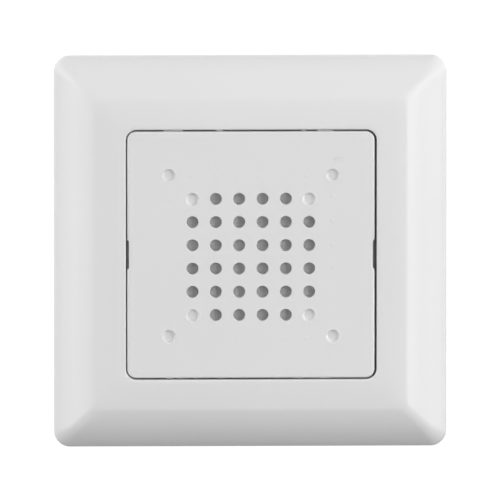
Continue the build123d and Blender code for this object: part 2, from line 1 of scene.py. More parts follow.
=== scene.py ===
import bmesh
import bpy
import json
from math import cos, hypot, pi, radians, sin
from mathutils import Matrix, Vector


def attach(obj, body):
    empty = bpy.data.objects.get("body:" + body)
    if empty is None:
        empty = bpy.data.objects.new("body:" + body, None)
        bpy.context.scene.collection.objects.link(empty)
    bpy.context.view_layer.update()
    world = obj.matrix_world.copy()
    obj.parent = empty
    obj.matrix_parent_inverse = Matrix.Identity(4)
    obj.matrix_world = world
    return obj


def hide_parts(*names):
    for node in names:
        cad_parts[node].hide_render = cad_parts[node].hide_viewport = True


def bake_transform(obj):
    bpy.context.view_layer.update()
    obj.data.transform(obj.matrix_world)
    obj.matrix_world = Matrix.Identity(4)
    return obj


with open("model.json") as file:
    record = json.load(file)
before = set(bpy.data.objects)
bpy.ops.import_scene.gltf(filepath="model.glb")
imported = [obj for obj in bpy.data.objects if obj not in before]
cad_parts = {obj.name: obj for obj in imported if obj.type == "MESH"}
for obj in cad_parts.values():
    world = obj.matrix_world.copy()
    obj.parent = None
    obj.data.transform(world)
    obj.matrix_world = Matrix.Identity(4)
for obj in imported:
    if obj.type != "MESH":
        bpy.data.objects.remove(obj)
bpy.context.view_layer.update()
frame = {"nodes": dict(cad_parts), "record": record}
mm = 0.001
print("chime: frame loaded")

# The room: camera, lamps, backdrop. Sizes are metres here, and millimetres in the pieces

view = {
    "azimuth": -1.6,  # degrees to the left of straight on
    "elevation": 5.7,
    "distance": 4.5,
    "width": 0.1026,  # what the picture is wide at the object
    "aim": (0.0, 0.0, 0.0),
    "sensor": 36.0,
    "clipEnd": 60,
}
lamps = {
    "rightFront": {"azimuth": 42, "elevation": 8, "distance": 0.9, "size": (0.6, 0.9), "watts": 5.0},
    "rightMiddle": {"azimuth": 65, "elevation": 5, "distance": 0.9, "size": (0.5, 0.9), "watts": 1.1},
    "rightSide": {"azimuth": 88, "elevation": 5, "distance": 0.9, "size": (0.5, 0.9), "watts": 1.36},
    "leftFront": {"azimuth": -42, "elevation": 8, "distance": 0.9, "size": (0.6, 0.9), "watts": 0.52},
    "leftMiddle": {"azimuth": -65, "elevation": 5, "distance": 0.9, "size": (0.5, 0.9), "watts": 3.0},
    "leftSide": {"azimuth": -88, "elevation": 5, "distance": 0.9, "size": (0.5, 0.9), "watts": 2.28},
    "above": {"azimuth": 0, "elevation": 85, "distance": 0.9, "size": (0.9, 0.6), "watts": 1.07},
    "frontHigh": {"azimuth": 0, "elevation": 30, "distance": 1.0, "size": (0.8, 0.5), "watts": 0.32},
    "backRight": {"azimuth": 140, "elevation": 25, "distance": 0.9, "size": (0.5, 0.5), "watts": 3.0},
    "backLeft": {"azimuth": -140, "elevation": 25, "distance": 0.9, "size": (0.5, 0.5), "watts": 3.0},
}
room = {
    "worldLevel": 0.3,
    "floorZ": -0.6,
    "floorHalf": 16.0,
    "floorColor": 0.2,
    "floorRoughness": 0.9,
    "floorGlow": 0.93,  # added only where the camera sees the floor, and less of it in reflections
    "floorReflected": 0.45,
}


def placeAround(azimuth, elevation, distance):
    a, e = radians(azimuth), radians(elevation)
    return Vector((distance * cos(e) * sin(a), -distance * cos(e) * cos(a), distance * sin(e)))


def aimAt(obj, target):
    direction = Vector(target) - obj.location
    obj.rotation_euler = direction.to_track_quat("-Z", "Y").to_euler()


def addCamera():
    data = bpy.data.cameras.new("photoCamera")
    data.sensor_width = view["sensor"]
    data.lens = view["sensor"] * view["distance"] / view["width"]
    data.clip_end = view["clipEnd"]
    camera = bpy.data.objects.new("photoCamera", data)
    bpy.context.scene.collection.objects.link(camera)
    away = placeAround(view["azimuth"], view["elevation"], view["distance"])
    camera.location = Vector(view["aim"]) + away
    aimAt(camera, view["aim"])
    bpy.context.scene.camera = camera


def addLamps():
    for name, lamp in lamps.items():
        data = bpy.data.lights.new(name, "AREA")
        data.shape = "RECTANGLE"
        data.size, data.size_y = lamp["size"]
        data.energy = lamp["watts"]
        obj = bpy.data.objects.new(name, data)
        bpy.context.scene.collection.objects.link(obj)
        obj.location = placeAround(lamp["azimuth"], lamp["elevation"], lamp["distance"])
        aimAt(obj, (0, 0, 0))
        obj.visible_glossy = not name.startswith("back")


def seenDirectly(tree, reflected=1.0):
    # 1 for what the camera or glass sees, a share of it in a reflection, 0 for the light on the object
    path = tree.nodes.new("ShaderNodeLightPath")
    mirrored = addMath(tree, "MULTIPLY", path.outputs["Is Glossy Ray"], reflected)
    seen = addMath(tree, "MAXIMUM", path.outputs["Is Camera Ray"], mirrored)
    return addMath(tree, "MAXIMUM", seen, path.outputs["Is Transmission Ray"])


def addRoom():
    world = bpy.data.worlds.new("studio")
    bpy.context.scene.world = world
    world.use_nodes = True
    tree = world.node_tree
    background = tree.nodes["Background"]
    background.inputs["Color"].default_value = (1, 1, 1, 1)
    level = addRange(tree, seenDirectly(tree), room["worldLevel"], 1.0, 0, 1)
    tree.links.new(level, background.inputs["Strength"])

    tone = room["floorColor"]
    paper, tree, shader = newMaterial("whitePaper", (tone, tone, tone), room["floorRoughness"])
    shader.inputs["Emission Color"].default_value = (1, 1, 1, 1)
    seen = seenDirectly(tree, room["floorReflected"] / room["floorGlow"])
    tree.links.new(addMath(tree, "MULTIPLY", seen, room["floorGlow"]), shader.inputs["Emission Strength"])
    bm = bmesh.new()
    floorPlace = Matrix.Translation((0, 0, room["floorZ"]))
    bmesh.ops.create_grid(bm, x_segments=1, y_segments=1, size=room["floorHalf"], matrix=floorPlace)
    floor = finishMesh(bm, "floor", recalc=False)
    floor.data.materials.append(paper)


# Helpers for meshes. Work is in millimetres until finishMesh scales it to metres

meshing = {"merge": 1e-6, "ringSpread": 20.0}


def finishMesh(bm, name, recalc=True, sharpAngle=None, scale=1.0):
    if recalc:
        bmesh.ops.remove_doubles(bm, verts=bm.verts, dist=meshing["merge"])
        bmesh.ops.recalc_face_normals(bm, faces=bm.faces)
    if scale != 1.0:
        bmesh.ops.scale(bm, vec=(scale, scale, scale), verts=bm.verts)
    if sharpAngle is not None:
        for face in bm.faces:
            face.smooth = True
        for edge in bm.edges:
            edge.smooth = len(edge.link_faces) == 2 and edge.calc_face_angle() < radians(sharpAngle)
    mesh = bpy.data.meshes.new(name)
    bm.to_mesh(mesh)
    bm.free()
    obj = bpy.data.objects.new(name, mesh)
    bpy.context.scene.collection.objects.link(obj)
    return obj


def edgesOf(verts):
    inside = set(verts)
    return list({e for v in verts for e in v.link_edges if e.other_vert(v) in inside})


def ringFromFace(bm, half, radius, out, cornerSteps):
    # A square ring with round corners, parallel to the wall and this far out of it
    before = set(bm.verts)
    verts = bmesh.ops.create_grid(bm, x_segments=1, y_segments=1, size=half)["verts"]
    turn = Matrix.Translation((0, -out, 0)) @ Matrix.Rotation(pi / 2, 4, "X")
    bmesh.ops.transform(bm, matrix=turn, verts=verts)
    bmesh.ops.bevel(
        bm, geom=verts, offset=radius, offset_type="OFFSET", segments=cornerSteps,
        profile=0.5, affect="VERTICES", material=-1,
    )
    ring = [v for v in bm.verts if v not in before]
    faces = list({f for v in ring for f in v.link_faces})
    bmesh.ops.delete(bm, geom=faces, context="FACES_ONLY")
    return ring


def circleRing(bm, radius, x, z, out, steps):
    made = bmesh.ops.create_circle(bm, cap_ends=False, radius=radius, segments=steps)["verts"]
    turn = Matrix.Translation((x, -out, z)) @ Matrix.Rotation(pi / 2, 4, "X")
    bmesh.ops.transform(bm, matrix=turn, verts=made)
    return made


def rectRing(bm, width, height, z, out):
    verts = bmesh.ops.create_grid(bm, x_segments=1, y_segments=1, size=0.5)["verts"]
    bmesh.ops.scale(bm, vec=(width, height, 1), verts=verts)
    turn = Matrix.Translation((0, -out, z)) @ Matrix.Rotation(pi / 2, 4, "X")
    bmesh.ops.transform(bm, matrix=turn, verts=verts)
    bmesh.ops.delete(bm, geom=verts[0].link_faces[:], context="FACES_ONLY")
    return verts


def bridge(bm, first, second):
    bmesh.ops.bridge_loops(bm, edges=edgesOf(first) + edgesOf(second))


def bridgeAll(bm, rings, close=False):
    # Rings in one plane would bridge crosswise, so they stand apart while they are joined
    for i, ring in enumerate(rings):
        bmesh.ops.translate(bm, vec=(0, -meshing["ringSpread"] * i, 0), verts=ring)
    for first, second in zip(rings, rings[1:]):
        bridge(bm, first, second)
    if close:
        bridge(bm, rings[-1], rings[0])
    for i, ring in enumerate(rings):
        bmesh.ops.translate(bm, vec=(0, meshing["ringSpread"] * i, 0), verts=ring)


def addBox(bm, x, z, width, height, low, high):
    matrix = Matrix.Translation((x, -(low + high) / 2, z)) @ Matrix.Diagonal((width, high - low, height, 1))
    return bmesh.ops.create_cube(bm, size=1.0, matrix=matrix)["verts"]


def roundEdges(bm, edges, radius, segments):
    bmesh.ops.bevel(
        bm, geom=edges, offset=radius, offset_type="OFFSET", segments=segments,
        profile=0.5, affect="EDGES", material=-1,
    )


# Cover frame

cover = {
    "half": 40.2541, "opening": 25.694, "cornerR": 3.3, "openingR": 2.2,
    "bevelWidth": 7.9, "landWidth": 6.66, "depth": 9.9924,
    "rimAngle": 61, "creaseAngle": 23, "creaseR": 3.2, "landAngle": 8, "openingAngle": 2,
    "mitreFall": 0.42, "mitreR": 1.7,  # the corner round shrinks inwards from the rim, down to this
    "bevelSteps": 26, "creaseSteps": 12, "landSteps": 6, "cornerSteps": 14,
    "shell": 2.0, "wallEdgeR": 0.25, "openingEdgeR": 0.3, "openingEdgeSteps": 4, "rimEdge": 0.35,
    "ledgeOut": 5.0, "ledgeBack": 3.5, "ledgeHalf": 24.294, "ledgeR": 1.5, "collarHalf": 27.294,
    "ribAt": 12.0, "ribT": 1.0, "ribHalf": 26.794, "ribBack": 1.5, "ribFoot": 0.8,
    "sharp": 35,
}


def coverProfile():
    # How far in from the side wall and how high above its top: bevel, crease and land
    c = cover
    points = [(0.0, 0.0)]

    def addArc(radius, fromAngle, toAngle, steps):
        first = radians(fromAngle)
        x0, y0 = points[-1][0] + radius * sin(first), points[-1][1] - radius * cos(first)
        for i in range(1, steps + 1):
            angle = radians(fromAngle + (toAngle - fromAngle) * i / steps)
            points.append((x0 - radius * sin(angle), y0 + radius * cos(angle)))

    bevelR = c["bevelWidth"] / (sin(radians(c["rimAngle"])) - sin(radians(c["creaseAngle"])))
    addArc(bevelR, c["rimAngle"], c["creaseAngle"], c["bevelSteps"])
    bevelTop = points[-1][1]
    addArc(c["creaseR"], c["creaseAngle"], c["landAngle"], c["creaseSteps"])
    run = c["bevelWidth"] + c["landWidth"] - points[-1][0]
    landR = run / (sin(radians(c["landAngle"])) - sin(radians(c["openingAngle"])))
    addArc(landR, c["landAngle"], c["openingAngle"], c["landSteps"])
    return points, bevelTop


def buildCover():
    c = cover
    points, bevelTop = coverProfile()
    run = c["bevelWidth"] + c["landWidth"]
    depth = c["depth"]
    rimHeight = depth - points[-1][1]
    wallEdge, lip = c["wallEdgeR"], c["openingEdgeR"]
    sections = [(c["half"] - wallEdge, c["cornerR"] - wallEdge, 0.0), (c["half"], c["cornerR"], wallEdge)]
    # The side wall turns into the bevel over a short slope
    sections.append((c["half"], c["cornerR"], rimHeight - c["rimEdge"]))
    for inset, rise in points:
        if c["rimEdge"] <= inset < run - lip:
            corner = max(c["cornerR"] - c["mitreFall"] * inset, c["mitreR"])
            if inset > c["bevelWidth"]:
                corner += (c["openingR"] - c["mitreR"]) * (inset - c["bevelWidth"]) / c["landWidth"]
            sections.append((c["half"] - inset, corner, rimHeight + rise))
    for i in range(c["openingEdgeSteps"] + 1):
        angle = i / c["openingEdgeSteps"] * pi / 2
        inset = lip * (1 - sin(angle))
        sections.append((c["opening"] + inset, c["openingR"] + inset, depth - lip * (1 - cos(angle))))
    # Then in past the ledge, and back out through the hollow, which keeps the shell's thickness
    startInset = c["shell"] * hypot(c["bevelWidth"], bevelTop) / bevelTop
    hollowOut = rimHeight + bevelTop - c["shell"]
    endInset = startInset + (hollowOut - rimHeight) * c["bevelWidth"] / bevelTop
    sections += [
        (c["opening"], c["openingR"], c["ledgeOut"]),
        (c["ledgeHalf"], c["ledgeR"], c["ledgeOut"]),
        (c["ledgeHalf"], c["ledgeR"], c["ledgeBack"]),
        (c["collarHalf"], c["openingR"], c["ledgeBack"]),
        (c["collarHalf"], c["openingR"], hollowOut),
        (c["half"] - endInset, c["openingR"], hollowOut),
        (c["half"] - startInset, c["openingR"], rimHeight),
        (c["half"] - c["shell"], c["openingR"], 0.0),
    ]
    bm = bmesh.new()
    rings = [ringFromFace(bm, half, corner, out, c["cornerSteps"]) for half, corner, out in sections]
    bridgeAll(bm, rings, close=True)
    bmesh.ops.recalc_face_normals(bm, faces=bm.faces)
    # Eight ribs stand in the hollow and hold the frame off the carrier's flange
    low, high, sunk = c["ribHalf"], c["half"] - c["shell"] / 2, c["shell"] / 2
    for turn in range(4):
        for side in (-1, 1):
            verts = addBox(
                bm, side * c["ribAt"], (low + high) / 2, c["ribT"], high - low,
                c["ribBack"], hollowOut + sunk,
            )
            for v in verts:
                if v.co.z > (low + high) / 2:
                    v.co.z -= endInset - sunk if -v.co.y > hollowOut else c["ribFoot"]
            bmesh.ops.rotate(bm, cent=(0, 0, 0), matrix=Matrix.Rotation(turn * pi / 2, 3, "Y"), verts=verts)
    obj = finishMesh(bm, "coverFrameShell", recalc=False, sharpAngle=c["sharp"], scale=mm)
    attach(obj, "cover_frame")
    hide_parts("cover_frame")
    return obj


# Centre plate

plate = {
    "half": 25.344, "cornerR": 1.8, "edgeR": 0.35, "out": 9.8924, "back": 7.8924, "ledge": 5.0,
    "shiftX": -0.1, "skirtBore": 24.144, "skirtR": 1.5, "cornerSteps": 10, "edgeSteps": 5,
    "sharp": 42, "flatNormal": 0.9999,
    "holeR": 1.225, "mouth": 0.1, "mouthBend": 0.3, "pitch": 4.78, "rows": 6, "drop": 0.45, "holeSteps": 48,
    # Dimples: radius and how far below the face, where minus is a raised lip
    "dimple": (
        (1.68, 0.0), (1.54, -0.04), (1.38, -0.03), (1.24, 0.1), (1.16, 0.55), (1.06, 0.68), (0.9, 0.72),
    ),
    "dimpleDrop": 0.1, "outerX": 16.78, "outerZ": 16.56, "outerDrop": 0.24,
    "notchHalf": 3.1, "notchSlope": 0.35, "notchDepth": 0.36, "notchReach": 3.0, "notchSlack": 0.01,
    "legWidth": 6.0, "legIn": 22.194, "legOut": 23.394, "legEnd": 2.7, "legSunk": 0.05,
    "windowWidth": 2.6, "windowLow": 3.9, "windowHigh": 5.1,
    "markR": 0.5, "markTop": 0.45, "markRise": 0.035, "markRing": 16.73, "markSteps": 20,
    "marks": {
        "top": (-12.3, -7.05, -2.9, 1.9, 6.7, 11.3), "bottom": (-12.45, -7.5, -2.9, 6.9, 11.5),
        "left": (11.4, -11.6), "right": (12.2, 7.1, 2.15, -2.55, -7.4),
    },
    # Short ribs on the plate's edge, seen as lighter places in the gap: from and to, along the edge
    "ribsTop": ((-17.8, -13.9), (-7.1, -5.7), (10.5, 11.3), (13.7, 16.8)),
    "ribsBottom": (
        (-17.4, -16.0), (-15.0, -13.7), (-11.5, -11.0), (-6.6, -6.0),
        (4.7, 5.7), (8.8, 10.6), (12.5, 13.3), (14.1, 16.2),
    ),
    "ribDown": 1.1, "ribLength": 3.0, "ribProud": 0.2, "ribSunk": 0.2,
}


def plateRing(bm, half, radius, out, notch):
    # The ring gets points where the notches begin and end, so that it can be drawn in there
    p = plate
    ring = ringFromFace(bm, half, radius, out, p["cornerSteps"])
    end, start = p["notchHalf"], p["notchHalf"] - p["notchSlope"]
    for z in (-end, -start, start, end):
        geom = ring + edgesOf(ring)
        cut = bmesh.ops.bisect_plane(bm, geom=geom, plane_co=(0, 0, z), plane_no=(0, 0, 1))
        ring = list({g for g in cut["geom"] + cut["geom_cut"] if isinstance(g, bmesh.types.BMVert)})
    for v in ring:
        if notch and abs(v.co.z) < start + p["notchSlack"]:
            v.co.x -= notch if v.co.x > 0 else -notch
    return ring


def soundHoles():
    # The grid's four corners are blind, and four more dimples lie outside it
    p = plate
    start = -(p["rows"] - 1) / 2 * p["pitch"]
    holes, dimples = [], []
    for i in range(p["rows"]):
        for j in range(p["rows"]):
            x, z = start + i * p["pitch"], start + j * p["pitch"] - p["drop"]
            if i in (0, p["rows"] - 1) and j in (0, p["rows"] - 1):
                dimples.append((x, z - p["dimpleDrop"]))
            else:
                holes.append((x, z))
    for x in (-p["outerX"], p["outerX"]):
        dimples += [(x, z - p["outerDrop"]) for z in (-p["outerZ"], p["outerZ"])]
    return holes, dimples


def witnessMarks():
    # Faint core-pin marks that carry on the grid of holes, where the photograph shows them
    ring, drop = plate["markRing"], plate["drop"]
    marks = plate["marks"]
    places = [(x, ring - drop) for x in marks["top"]] + [(x, -ring - drop) for x in marks["bottom"]]
    return places + [(-ring, z) for z in marks["left"]] + [(ring, z) for z in marks["right"]]


def buildPlate():
    p = plate
    bm = bmesh.new()
    rings = []
    for i in range(p["edgeSteps"] + 1):
        angle = i / p["edgeSteps"] * pi / 2
        inset, out = p["edgeR"] * (1 - sin(angle)), p["out"] - p["edgeR"] * (1 - cos(angle))
        rings.append(plateRing(bm, p["half"] - inset, p["cornerR"] - inset, out, p["notchDepth"]))
    notchEnd = p["out"] - p["notchReach"]
    rings.append(plateRing(bm, p["half"], p["cornerR"], notchEnd, p["notchDepth"]))
    rings.append(plateRing(bm, p["half"], p["cornerR"], notchEnd - p["notchSlack"], 0))
    rings.append(plateRing(bm, p["half"], p["cornerR"], p["ledge"], 0))
    rings.append(plateRing(bm, p["skirtBore"], p["skirtR"], p["ledge"], 0))
    rings.append(plateRing(bm, p["skirtBore"], p["skirtR"], p["back"], 0))
    bridgeAll(bm, rings)
    holes, dimples = soundHoles()
    frontEdges, backEdges = edgesOf(rings[0]), edgesOf(rings[-1])
    bend = p["mouth"] * p["mouthBend"]
    holeRings = (
        (p["holeR"] + p["mouth"], p["out"]), (p["holeR"] + bend, p["out"] - bend),
        (p["holeR"], p["out"] - p["mouth"]), (p["holeR"], p["back"]),
    )
    for x, z in holes:
        wall = [circleRing(bm, r, x, z, out, p["holeSteps"]) for r, out in holeRings]
        frontEdges += edgesOf(wall[0])
        backEdges += edgesOf(wall[-1])
        bridgeAll(bm, wall)
    for x, z in dimples:
        wall = [circleRing(bm, r, x, z, p["out"] - down, p["holeSteps"]) for r, down in p["dimple"]]
        frontEdges += edgesOf(wall[0])
        bridgeAll(bm, wall)
        bmesh.ops.contextual_create(bm, geom=edgesOf(wall[-1]))
    for x, z in witnessMarks():
        ring = circleRing(bm, p["markR"], x, z, p["out"], p["markSteps"])
        top = circleRing(bm, p["markR"] * p["markTop"], x, z, p["out"] + p["markRise"], p["markSteps"])
        frontEdges += edgesOf(ring)
        bridgeAll(bm, [ring, top])
        bmesh.ops.contextual_create(bm, geom=edgesOf(top))
    for edges in (frontEdges, backEdges):
        bmesh.ops.triangle_fill(bm, use_beauty=True, use_dissolve=False, edges=edges)
    bmesh.ops.recalc_face_normals(bm, faces=bm.faces)
    # Four sprung legs, each a strip with a window for the carrier's catch, made lying and then turned up
    legStart = p["back"] + p["legSunk"]
    leg = (p["legWidth"], legStart - p["legEnd"], (legStart + p["legEnd"]) / 2)
    window = (p["windowWidth"], p["windowHigh"] - p["windowLow"], (p["windowHigh"] + p["windowLow"]) / 2)
    for turn in range(4):
        sections = [
            rectRing(bm, *leg, -p["legOut"]), rectRing(bm, *leg, -p["legIn"]),
            rectRing(bm, *window, -p["legIn"]), rectRing(bm, *window, -p["legOut"]),
        ]
        bridgeAll(bm, sections, close=True)
        made = [v for ring in sections for v in ring]
        bmesh.ops.rotate(bm, cent=(0, 0, 0), matrix=Matrix.Rotation(pi / 2, 3, "X"), verts=made)
        bmesh.ops.rotate(bm, cent=(0, 0, 0), matrix=Matrix.Rotation(turn * pi / 2, 3, "Y"), verts=made)
        bmesh.ops.recalc_face_normals(bm, faces=list({f for v in made for f in v.link_faces}))
    for side, spans in ((1, p["ribsTop"]), (-1, p["ribsBottom"])):
        for first, last in spans:
            edge = side * (p["half"] + (p["ribProud"] - p["ribSunk"]) / 2)
            addBox(
                bm, (first + last) / 2, edge, last - first, p["ribProud"] + p["ribSunk"],
                p["out"] - p["ribDown"] - p["ribLength"], p["out"] - p["ribDown"],
            )
    bmesh.ops.translate(bm, vec=(p["shiftX"], 0, 0), verts=bm.verts)
    obj = finishMesh(bm, "centrePlateShell", recalc=False, sharpAngle=p["sharp"], scale=mm)
    # Flat places stay flat right up to the rounds beside them
    for polygon in obj.data.polygons:
        if abs(polygon.normal.y) > p["flatNormal"]:
            polygon.use_smooth = False
    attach(obj, "centre_plate")
    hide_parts("centre_plate")
    return obj


# Cloth behind the holes

cloth = {"half": 14.95, "out": 7.78, "cells": 180, "thread": 0.56, "wave": 0.02, "sharp": 180}


def buildCloth():
    c = cloth
    bm = bmesh.new()
    bmesh.ops.create_grid(bm, x_segments=c["cells"], y_segments=c["cells"], size=c["half"])
    turns = 2 * pi / c["thread"]
    for v in bm.verts:
        v.co.z = c["wave"] * sin(turns * v.co.x) * sin(turns * v.co.y)
    place = Matrix.Translation((plate["shiftX"], -c["out"], 0)) @ Matrix.Rotation(pi / 2, 4, "X")
    bmesh.ops.transform(bm, matrix=place, verts=bm.verts)
    obj = finishMesh(bm, "grilleClothWeave", recalc=False, sharpAngle=c["sharp"], scale=mm)
    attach(obj, "centre_plate")
    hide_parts("grille_cloth")
    return obj


# Materials

def newMaterial(name, color, roughness, metallic=0.0):
    material = bpy.data.materials.new(name)
    material.use_nodes = True
    tree = material.node_tree
    shader = tree.nodes["Principled BSDF"]
    shader.inputs["Base Color"].default_value = (*color, 1)
    shader.inputs["Roughness"].default_value = roughness
    shader.inputs["Metallic"].default_value = metallic
    return material, tree, shader


def objectCoords(tree, scale=None, shift=(0, 0, 0)):
    source = tree.nodes.new("ShaderNodeTexCoord").outputs["Object"]
    if scale is None:
        return source
    mapping = tree.nodes.new("ShaderNodeMapping")
    mapping.inputs["Scale"].default_value = scale
    mapping.inputs["Location"].default_value = shift
    tree.links.new(source, mapping.inputs["Vector"])
    return mapping.outputs["Vector"]


def addNoise(tree, scale, detail, stretch=None):
    noise = tree.nodes.new("ShaderNodeTexNoise")
    noise.inputs["Scale"].default_value = scale
    noise.inputs["Detail"].default_value = detail
    tree.links.new(objectCoords(tree, stretch), noise.inputs["Vector"])
    return noise.outputs["Fac"]


def addCells(tree, scale, distance="EUCLIDEAN"):
    cells = tree.nodes.new("ShaderNodeTexVoronoi")
    cells.distance = distance
    cells.inputs["Scale"].default_value = scale
    tree.links.new(objectCoords(tree), cells.inputs["Vector"])
    return cells.outputs["Distance"], cells.outputs["Color"]


def addWave(tree, pitch, direction, rings=False):
    # Bands or rings a pitch apart, in metres. At scale 1 they are pi / 10 apart
    wave = tree.nodes.new("ShaderNodeTexWave")
    wave.wave_type = "RINGS" if rings else "BANDS"
    if rings:
        wave.rings_direction = direction
    else:
        wave.bands_direction = direction
    wave.inputs["Scale"].default_value = pi / (10 * pitch)
    tree.links.new(objectCoords(tree), wave.inputs["Vector"])
    return wave.outputs["Fac"]


def addRange(tree, source, low, high, fromLow=0.3, fromHigh=0.7):
    # The range it starts from is where most of a noise lies, unless another is given
    node = tree.nodes.new("ShaderNodeMapRange")
    node.inputs["From Min"].default_value = fromLow
    node.inputs["From Max"].default_value = fromHigh
    node.inputs["To Min"].default_value = low
    node.inputs["To Max"].default_value = high
    tree.links.new(source, node.inputs["Value"])
    return node.outputs["Result"]


def addMath(tree, operation, first, second):
    node = tree.nodes.new("ShaderNodeMath")
    node.operation = operation
    for socket, value in zip(node.inputs, (first, second)):
        if isinstance(value, (int, float)):
            socket.default_value = value
        else:
            tree.links.new(value, socket)
    return node.outputs[0]


def addMix(tree, source, first, second):
    node = tree.nodes.new("ShaderNodeMix")
    node.data_type = "RGBA"
    for letter, value in (("A", first), ("B", second)):
        socket = next(s for s in node.inputs if s.name == letter and s.type == "RGBA")
        if isinstance(value, tuple):
            socket.default_value = (*value, 1)
        else:
            tree.links.new(value, socket)
    tree.links.new(source, node.inputs["Factor"])
    return next(s for s in node.outputs if s.type == "RGBA")


def addBump(tree, shader, height, strength, distance):
    bump = tree.nodes.new("ShaderNodeBump")
    bump.inputs["Strength"].default_value = strength
    bump.inputs["Distance"].default_value = distance
    tree.links.new(height, bump.inputs["Height"])
    tree.links.new(bump.outputs["Normal"], shader.inputs["Normal"])


def faceTurn(tree, axis):
    # How far the surface faces along one axis, from -1 to 1
    parts = tree.nodes.new("ShaderNodeSeparateXYZ")
    tree.links.new(tree.nodes.new("ShaderNodeNewGeometry").outputs["Normal"], parts.inputs[0])
    return parts.outputs[axis]


finishes = {
    # color, darker color, roughness range, metallic, noise scale per metre, bump height in metres
    "cover_plastic": ((0.79, 0.79, 0.79), (0.78, 0.78, 0.78), (0.28, 0.32), 0, 500, 4e-7),
    "grille_cloth": ((0.72, 0.72, 0.73), (0.66, 0.66, 0.67), (0.8, 0.95), 0, 3000, 2e-5),
    "carrier_plastic": ((0.62, 0.63, 0.64), (0.605, 0.615, 0.625), (0.42, 0.5), 0, 3200, 4e-6),
    "zinc_steel": ((0.62, 0.63, 0.64), (0.5, 0.51, 0.53), (0.28, 0.42), 1, 700, 4e-6),
    "cup_plastic": ((0.70, 0.70, 0.69), (0.685, 0.685, 0.672), (0.45, 0.52), 0, 3200, 5e-6),
    "basket_steel": ((0.5, 0.5, 0.51), (0.45, 0.45, 0.46), (0.3, 0.4), 1, 1100, 1.2e-6),
    "gasket_card": ((0.05, 0.05, 0.05), (0.03, 0.03, 0.03), (0.85, 0.95), 0, 6000, 3e-5),
    "cone_film": ((0.03, 0.03, 0.035), (0.02, 0.02, 0.025), (0.32, 0.45), 0, 3000, 1e-5),
    "copper": ((0.72, 0.38, 0.22), (0.55, 0.26, 0.14), (0.25, 0.35), 1, 3000, 8e-6),
    "ferrite": ((0.06, 0.06, 0.065), (0.035, 0.035, 0.04), (0.6, 0.75), 0, 4000, 2e-5),
    "phenolic": ((0.35, 0.2, 0.1), (0.27, 0.15, 0.07), (0.5, 0.6), 0, 3500, 1e-5),
    "tinned_brass": ((0.7, 0.68, 0.62), (0.63, 0.6, 0.54), (0.25, 0.36), 1, 1800, 1.2e-6),
    "lead_red": ((0.6, 0.03, 0.02), (0.52, 0.025, 0.018), (0.38, 0.48), 0, 3000, 5e-6),
    "lead_black": ((0.02, 0.02, 0.02), (0.028, 0.028, 0.028), (0.38, 0.48), 0, 3000, 5e-6),
    "plug_nylon": ((0.8, 0.78, 0.7), (0.76, 0.73, 0.64), (0.4, 0.48), 0, 2500, 5e-6),
    "board_laminate": ((0.02, 0.16, 0.06), (0.014, 0.12, 0.045), (0.3, 0.4), 0, 2000, 4e-6),
    "screw_steel": ((0.7, 0.7, 0.72), (0.63, 0.63, 0.65), (0.2, 0.3), 1, 1400, 8e-7),
    "control_blue": ((0.05, 0.12, 0.45), (0.04, 0.1, 0.39), (0.35, 0.45), 0, 2500, 5e-6),
    "switch_black": ((0.03, 0.03, 0.03), (0.022, 0.022, 0.022), (0.4, 0.5), 0, 3000, 8e-6),
    "capacitor_sleeve": ((0.02, 0.028, 0.06), (0.016, 0.022, 0.05), (0.28, 0.36), 0, 2500, 4e-6),
    "package_epoxy": ((0.03, 0.03, 0.03), (0.022, 0.022, 0.022), (0.55, 0.68), 0, 6000, 1e-5),
    "ceramic_chip": ((0.55, 0.42, 0.28), (0.47, 0.35, 0.23), (0.45, 0.6), 0, 5000, 6e-6),
    "terminal_plastic": ((0.3, 0.32, 0.34), (0.26, 0.28, 0.3), (0.4, 0.5), 0, 2500, 8e-6),
    "solder": ((0.62, 0.62, 0.63), (0.5, 0.5, 0.52), (0.22, 0.4), 1, 2500, 2e-6),
    "screen_ink": ((0.8, 0.8, 0.78), (0.7, 0.7, 0.68), (0.6, 0.75), 0, 5000, 4e-6),
}
patterns = {
    # Every bump is its strength and its height in metres
    "broadShare": 1 / 12, "broadDetail": 2.0, "fineDetail": 4.0, "fineBump": 0.6,
    # The thread gap colour is painted shade for the dips between threads
    "threadPitch": 0.00028, "threadBump": (0.8, 6e-5), "threadGapShade": (0.34, 0.34, 0.345),
    "threadShade": (0.45, 1, 0, 0.8), "coilShade": (0, 1, 0, 0.5),  # to, then from; both ranges paint shade into the low places between threads and between turns
    "spangle": 420, "spangleTone": (0.74, 0.75, 0.77), "spangleMost": 0.7,
    "brushScale": 2500, "brushStretch": (1, 1, 0.06), "brushBump": (0.4, 3e-6),
    "traceScale": 230, "traceBands": 5.0, "traceEdge": (0.26, 0.3), "traceBump": (0.5, 2.5e-5),
    "traceGreen": (0.035, 0.24, 0.09), "laminate": (0.42, 0.36, 0.2), "boardFlat": 0.6,
    "aluminium": (0.72, 0.72, 0.73), "canTop": -0.985,
    "sleeveStripe": (0.5, 0.52, 0.55), "stripeFrom": 0.93,
    # The coil gap colour is painted shade for the grooves between turns
    "coilPitch": 0.00016, "coilBump": (0.9, 5e-5), "coilGapShade": (0.3, 0.13, 0.06),
    "coneRings": 0.0011, "coneBump": (0.5, 4e-5),
    "resistorGlaze": (0.025, 0.025, 0.028), "resistorTop": -0.9,
    "scuffAt": (0.0179, -0.0099, 0.0196), "scuffSize": (0.0015, 0.004, 0.0007),
    "scuffTone": (0.66, 0.66, 0.65), "scuffGrain": 2600, "scuffMost": 1.6, "scuffEdge": (0.45, 0.6),
}


